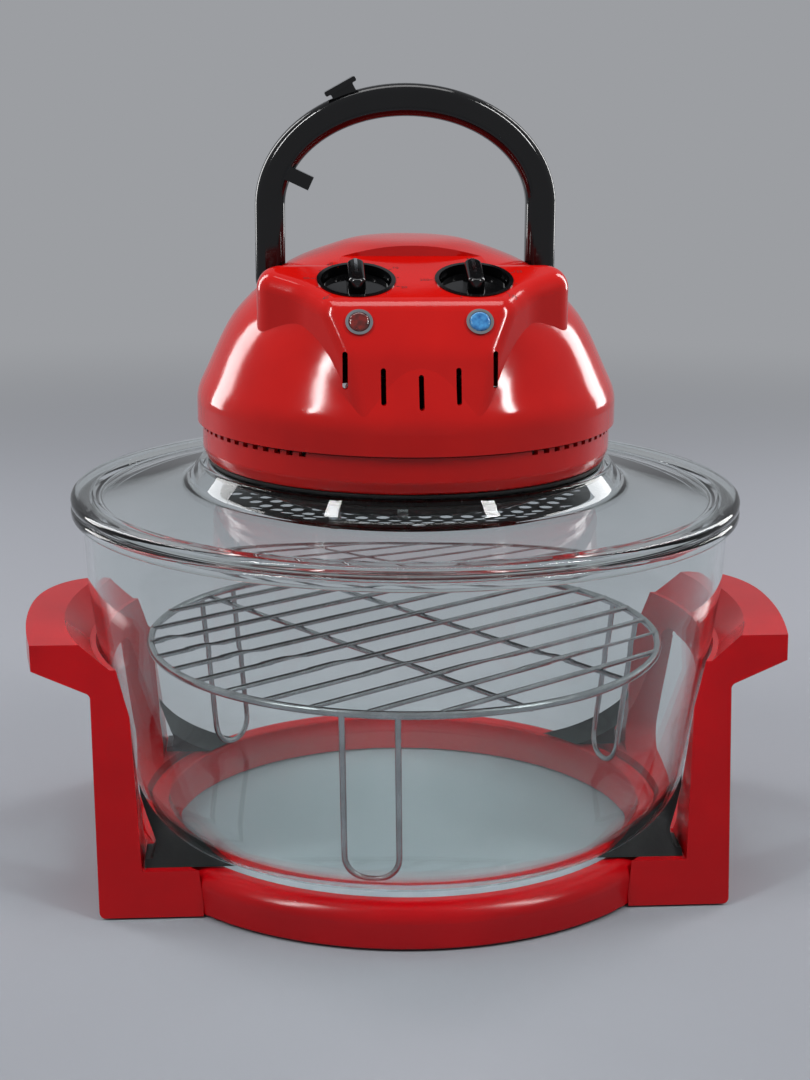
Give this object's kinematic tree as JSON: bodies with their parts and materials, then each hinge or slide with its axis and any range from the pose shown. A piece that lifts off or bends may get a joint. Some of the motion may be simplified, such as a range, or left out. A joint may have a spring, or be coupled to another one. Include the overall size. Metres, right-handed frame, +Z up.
{
  "type": "halogen oven",
  "caption": "Table-top halogen oven: clear glass bowl in a red stand, wire rack, glass lid with a domed fan-and-lamp head, two dials and a folding carry handle.",
  "frame": {"origin": "on the table under the centre of the bowl", "axes": "+Z up, the control panel faces -Y, +X to the right as the user sees it"},
  "size_m": [0.388, 0.34, 0.3962],
  "materials": {
    "red_body": "glossy injection-moulded red plastic",
    "ring_body": "glossy red base ring",
    "black_gloss": "polished black handle and knobs",
    "black_matte": "matte black heat-resistant plastic",
    "plunger_white": "natural nylon",
    "rubber": "black silicone rubber",
    "clear_glass": "clear tempered glass",
    "quartz": "red-brown coated quartz tube",
    "lens_red": "red lamp lens",
    "lens_blue": "blue lamp lens",
    "chrome": "bright chrome plate",
    "screw_steel": "zinc-plated steel",
    "guard_steel": "dark heat-tinted perforated steel",
    "bright_sheet": "polished reflector sheet",
    "zinc_sheet": "zinc-plated sheet",
    "core_steel": "laminated motor steel",
    "winding": "lacquered copper winding with tape",
    "board": "pressed mineral-fibre board",
    "ceramic": "white steatite ceramic"
  },
  "bodies": {
    "stand": {"base_ring": "ring_body", "right_side_frame": "red_body", "left_side_frame": "red_body", "front_right_cradle": "black_matte", "front_left_cradle": "black_matte", "rear_right_cradle": "black_matte", "rear_left_cradle": "black_matte", "rubber_feet": "rubber", "frame_screws": "screw_steel"},
    "bowl": {"glass_bowl": "clear_glass"},
    "rack": {"wire_rack": "chrome"},
    "lid": {"glass_lid": "clear_glass", "lid_gasket": "rubber", "clamp_ring": "zinc_sheet", "clamp_screws": "screw_steel", "lower_housing": "red_body", "upper_housing": "red_body", "housing_screws": "screw_steel", "chassis_plate": "zinc_sheet", "insulation_disc": "board", "reflector_dish": "bright_sheet", "lamp_tube": "quartz", "lamp_end_caps": "ceramic", "lamp_clips": "screw_steel", "guard_plate": "guard_steel", "guard_standoffs": "screw_steel", "guard_screws": "screw_steel", "motor_posts": "screw_steel", "motor_plate": "zinc_sheet", "motor_stator": "core_steel", "motor_coil": "winding", "motor_bracket": "zinc_sheet", "shaft_bushes": "screw_steel", "timer_unit": "black_matte", "thermostat_unit": "black_matte", "timer_well_liner": "black_gloss", "temperature_well_liner": "black_gloss", "power_lamp_lens": "lens_red", "heat_lamp_lens": "lens_blue", "lamp_bezels": "chrome", "safety_switch": "black_matte", "terminal_block": "black_matte", "mains_inlet": "black_matte", "inlet_pins": "chrome", "handle_pivot_pins": "screw_steel"},
    "carry_handle": {"handle_bow": "black_gloss", "handle_cover": "black_gloss"},
    "release_button": {"handle_button": "black_gloss"},
    "timer_dial": {"timer_knob": "black_gloss", "timer_pointer": "chrome"},
    "temperature_dial": {"temperature_knob": "black_gloss", "temperature_pointer": "chrome"},
    "fan_rotor": {"motor_shaft": "screw_steel", "motor_rotor": "core_steel", "cooling_fan": "bright_sheet", "hot_air_fan": "bright_sheet", "fan_nut": "screw_steel"},
    "switch_button": {"switch_plunger": "plunger_white"}
  },
  "joints": [
    {"name": "bowl_lift", "type": "slide", "parent": "stand", "child": "bowl", "axis": [0, 0, 1], "range_m": [0, 0.15]},
    {"name": "rack_lift", "type": "slide", "parent": "bowl", "child": "rack", "axis": [0, 0, 1], "range_m": [0, 0.05]},
    {"name": "lid_lift", "type": "slide", "parent": "bowl", "child": "lid", "axis": [0, 0, 1], "range_m": [0, 0.25]},
    {"name": "handle_fold", "type": "hinge", "parent": "lid", "child": "carry_handle", "pos_m": [0, 0.01, 0.298], "axis": [-1, 0, 0], "range_deg": [0, 90]},
    {"name": "button_press", "type": "slide", "parent": "carry_handle", "child": "release_button", "axis": [0.4848, 0, -0.8746], "range_m": [0, 0.0015], "stiffness_N_per_m": 500, "springref_m": -0.001},
    {"name": "timer_turn", "type": "hinge", "parent": "lid", "child": "timer_dial", "pos_m": [-0.028, -0.0555, 0.30339], "axis": [0, 0.3198, -0.9475], "range_deg": [0, 330]},
    {"name": "temperature_turn", "type": "hinge", "parent": "lid", "child": "temperature_dial", "pos_m": [0.028, -0.0555, 0.30339], "axis": [0, 0.3198, -0.9475], "range_deg": [0, 270]},
    {"name": "fan_spin", "type": "hinge", "parent": "lid", "child": "fan_rotor", "pos_m": [0, 0, 0.2], "axis": [0, 0, 1], "continuous": true},
    {"name": "switch_press", "type": "slide", "parent": "lid", "child": "switch_button", "axis": [0, 0, -1], "range_m": [0, 0.0024]}
  ],
  "couplings": [
    {"joint": "switch_press", "follows": "handle_fold", "m_per_rad": 0.001527}
  ]
}
